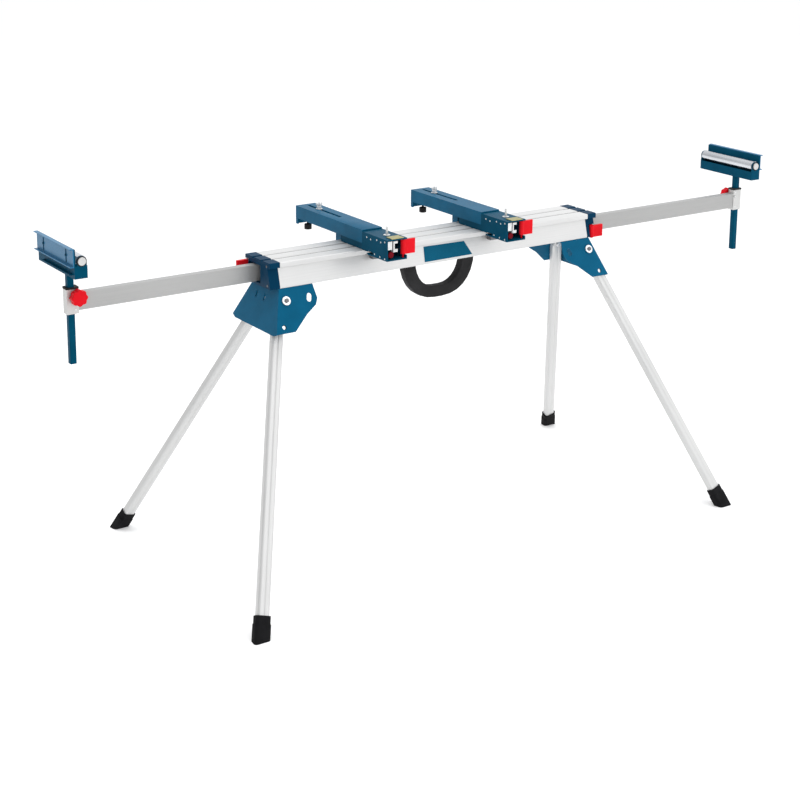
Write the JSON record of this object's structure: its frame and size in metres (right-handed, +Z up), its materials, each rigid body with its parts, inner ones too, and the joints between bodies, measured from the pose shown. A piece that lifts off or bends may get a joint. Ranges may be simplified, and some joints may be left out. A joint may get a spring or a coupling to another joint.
{
  "type": "folding mitre saw stand",
  "caption": "Folding stand for a mitre saw: aluminium rail on splayed legs, clamp-on saw brackets, and pull-out arms with height-adjustable roller supports at both ends.",
  "frame": {"origin": "on the floor, below the middle of the object's box", "axes": "+X along the rail towards the arm that is pulled out further, +Y towards the rear, +Z up"},
  "size_m": [2.1568, 0.8084, 0.906],
  "materials": {
    "rail": "satin, drawn",
    "tube": "satin",
    "blue": "semi-gloss powder coat",
    "cap": "matte",
    "red": "semi-gloss",
    "black": "matte",
    "rubber": "matte",
    "zinc": "yellow zinc plate",
    "steel": "bright"
  },
  "bodies": {
    "frame": {"rail": "rail", "carry_handle": "black", "end_cap_right": "cap", "end_cap_left": "cap", "leg_bracket_right": "blue", "leg_bracket_left": "blue", "pivot_bolt_right_front": "steel", "pivot_bolt_right_rear": "steel", "pivot_bolt_left_front": "steel", "pivot_bolt_left_rear": "steel"},
    "leg_right_front": {"leg_right_front": "tube", "foot_right_front": "rubber"},
    "lock_button_right_front": {"lock_button_right_front": "steel"},
    "leg_right_rear": {"leg_right_rear": "tube", "foot_right_rear": "rubber"},
    "lock_button_right_rear": {"lock_button_right_rear": "steel"},
    "leg_left_front": {"leg_left_front": "tube", "foot_left_front": "rubber", "lock_housing_left_front": "black"},
    "lock_button_left_front": {"lock_button_left_front": "steel"},
    "leg_left_rear": {"leg_left_rear": "tube", "foot_left_rear": "rubber", "lock_housing_left_rear": "black"},
    "lock_button_left_rear": {"lock_button_left_rear": "steel"},
    "arm_right": {"arm_tube_right": "tube", "arm_socket_right": "tube", "post_collar_right": "cap"},
    "cap_lever_right": {"cap_lever_right": "red"},
    "post_right": {"post_right": "blue", "roller_cradle_right": "blue", "roller_axle_right": "steel"},
    "post_knob_right": {"post_knob_right": "red"},
    "roller_right": {"roller_right": "steel"},
    "stop_plate_right": {"stop_plate_right": "blue"},
    "arm_left": {"arm_tube_left": "tube", "arm_socket_left": "tube", "post_collar_left": "cap"},
    "cap_lever_left": {"cap_lever_left": "red"},
    "post_left": {"post_left": "blue", "roller_cradle_left": "blue", "roller_axle_left": "steel"},
    "post_knob_left": {"post_knob_left": "red"},
    "roller_left": {"roller_left": "steel"},
    "stop_plate_left": {"stop_plate_left": "blue"},
    "saw_bracket_right": {"saw_bracket_right": "blue", "clamp_housing_right": "blue", "clamp_plate_right": "zinc", "front_bolt_right": "steel"},
    "clamp_lever_right": {"clamp_lever_right": "red"},
    "clamp_jaw_right": {"clamp_jaw_right": "zinc"},
    "rear_bolt_right": {"rear_bolt_right": "steel"},
    "levelling_knob_right": {"levelling_knob_right": "black"},
    "saw_bracket_left": {"saw_bracket_left": "blue", "clamp_housing_left": "blue", "clamp_plate_left": "zinc", "front_bolt_left": "steel"},
    "clamp_lever_left": {"clamp_lever_left": "red"},
    "clamp_jaw_left": {"clamp_jaw_left": "zinc"},
    "rear_bolt_left": {"rear_bolt_left": "steel"},
    "levelling_knob_left": {"levelling_knob_left": "black"}
  },
  "joints": [
    {"name": "leg_right_front_fold", "type": "hinge", "parent": "frame", "child": "leg_right_front", "pos_m": [0.437, -0.06327, 0.69833], "axis": [0, 0.9063, -0.4227], "range_deg": [0, 108]},
    {"name": "lock_button_right_front_press", "type": "slide", "parent": "leg_right_front", "child": "lock_button_right_front", "axis": [0, 0.9063, -0.4227], "range_m": [0, 0.004], "stiffness_N_per_m": 600},
    {"name": "leg_right_rear_fold", "type": "hinge", "parent": "frame", "child": "leg_right_rear", "pos_m": [0.437, 0.06327, 0.69833], "axis": [0, 0.9063, 0.4227], "range_deg": [0, 108]},
    {"name": "lock_button_right_rear_press", "type": "slide", "parent": "leg_right_rear", "child": "lock_button_right_rear", "axis": [0, -0.9063, -0.4227], "range_m": [0, 0.004], "stiffness_N_per_m": 600},
    {"name": "leg_left_front_fold", "type": "hinge", "parent": "frame", "child": "leg_left_front", "pos_m": [-0.527, -0.03771, 0.6846], "axis": [0, -0.8897, 0.4565], "range_deg": [0, 108]},
    {"name": "lock_button_left_front_press", "type": "slide", "parent": "leg_left_front", "child": "lock_button_left_front", "axis": [0, 0.8897, -0.4565], "range_m": [0, 0.004], "stiffness_N_per_m": 600},
    {"name": "leg_left_rear_fold", "type": "hinge", "parent": "frame", "child": "leg_left_rear", "pos_m": [-0.527, 0.03771, 0.6846], "axis": [0, -0.8897, -0.4565], "range_deg": [0, 108]},
    {"name": "lock_button_left_rear_press", "type": "slide", "parent": "leg_left_rear", "child": "lock_button_left_rear", "axis": [0, -0.8897, -0.4565], "range_m": [0, 0.004], "stiffness_N_per_m": 600},
    {"name": "arm_right_slide", "type": "slide", "parent": "frame", "child": "arm_right", "axis": [1, 0, 0], "range_m": [-0.53, 0.26]},
    {"name": "cap_lever_right_turn", "type": "hinge", "parent": "frame", "child": "cap_lever_right", "pos_m": [0.464, -0.056, 0.75], "axis": [0, 0, -1], "range_deg": [0, 75]},
    {"name": "post_right_slide", "type": "slide", "parent": "arm_right", "child": "post_right", "axis": [0, 0, 1], "range_m": [-0.03, 0.1]},
    {"name": "post_knob_right_turn", "type": "hinge", "parent": "arm_right", "child": "post_knob_right", "pos_m": [1.0374, -0.019, 0.774], "axis": [0, 1, 0], "continuous": true},
    {"name": "roller_right_spin", "type": "hinge", "parent": "post_right", "child": "roller_right", "pos_m": [1.05, 0.0115, 0.875], "axis": [0, 1, 0], "continuous": true},
    {"name": "stop_plate_right_slide", "type": "slide", "parent": "post_right", "child": "stop_plate_right", "axis": [0, 0, 1], "range_m": [-0.013, 0.013]},
    {"name": "arm_left_slide", "type": "slide", "parent": "frame", "child": "arm_left", "axis": [-1, 0, 0], "range_m": [-0.44, 0.35]},
    {"name": "cap_lever_left_turn", "type": "hinge", "parent": "frame", "child": "cap_lever_left", "pos_m": [-0.554, 0.056, 0.75], "axis": [0, 0, -1], "range_deg": [0, 75]},
    {"name": "post_left_slide", "type": "slide", "parent": "arm_left", "child": "post_left", "axis": [0, 0, 1], "range_m": [-0.03, 0.1]},
    {"name": "post_knob_left_turn", "type": "hinge", "parent": "arm_left", "child": "post_knob_left", "pos_m": [-1.0374, 0.019, 0.774], "axis": [0, 1, 0], "continuous": true},
    {"name": "roller_left_spin", "type": "hinge", "parent": "post_left", "child": "roller_left", "pos_m": [-1.05, 0.0495, 0.875], "axis": [0, 1, 0], "continuous": true},
    {"name": "stop_plate_left_slide", "type": "slide", "parent": "post_left", "child": "stop_plate_left", "axis": [0, 0, 1], "range_m": [-0.013, 0.013]},
    {"name": "saw_bracket_right_slide", "type": "slide", "parent": "frame", "child": "saw_bracket_right", "axis": [1, 0, 0], "range_m": [-0.12, 0.28]},
    {"name": "clamp_lever_right_turn", "type": "hinge", "parent": "saw_bracket_right", "child": "clamp_lever_right", "pos_m": [0.129, -0.169, 0.825], "axis": [0, 0, -1], "range_deg": [0, 90]},
    {"name": "clamp_jaw_right_slide", "type": "slide", "parent": "saw_bracket_right", "child": "clamp_jaw_right", "axis": [0, -1, 0], "range_m": [0, 0.00785]},
    {"name": "rear_bolt_right_slide", "type": "slide", "parent": "saw_bracket_right", "child": "rear_bolt_right", "axis": [0, 1, 0], "range_m": [-0.09, 0.05]},
    {"name": "levelling_knob_right_turn", "type": "hinge", "parent": "saw_bracket_right", "child": "levelling_knob_right", "pos_m": [0.093, 0.232, 0.8], "axis": [0, 0, 1], "continuous": true},
    {"name": "saw_bracket_left_slide", "type": "slide", "parent": "frame", "child": "saw_bracket_left", "axis": [1, 0, 0], "range_m": [-0.22, 0.12]},
    {"name": "clamp_lever_left_turn", "type": "hinge", "parent": "saw_bracket_left", "child": "clamp_lever_left", "pos_m": [-0.243, -0.169, 0.825], "axis": [0, 0, -1], "range_deg": [0, 90]},
    {"name": "clamp_jaw_left_slide", "type": "slide", "parent": "saw_bracket_left", "child": "clamp_jaw_left", "axis": [0, -1, 0], "range_m": [0, 0.00785]},
    {"name": "rear_bolt_left_slide", "type": "slide", "parent": "saw_bracket_left", "child": "rear_bolt_left", "axis": [0, 1, 0], "range_m": [-0.09, 0.05]},
    {"name": "levelling_knob_left_turn", "type": "hinge", "parent": "saw_bracket_left", "child": "levelling_knob_left", "pos_m": [-0.279, 0.232, 0.8], "axis": [0, 0, 1], "continuous": true}
  ],
  "couplings": [
    {"joint": "clamp_lever_right_turn", "follows": "clamp_jaw_right_slide", "rad_per_m": 200},
    {"joint": "clamp_lever_left_turn", "follows": "clamp_jaw_left_slide", "rad_per_m": 200}
  ]
}
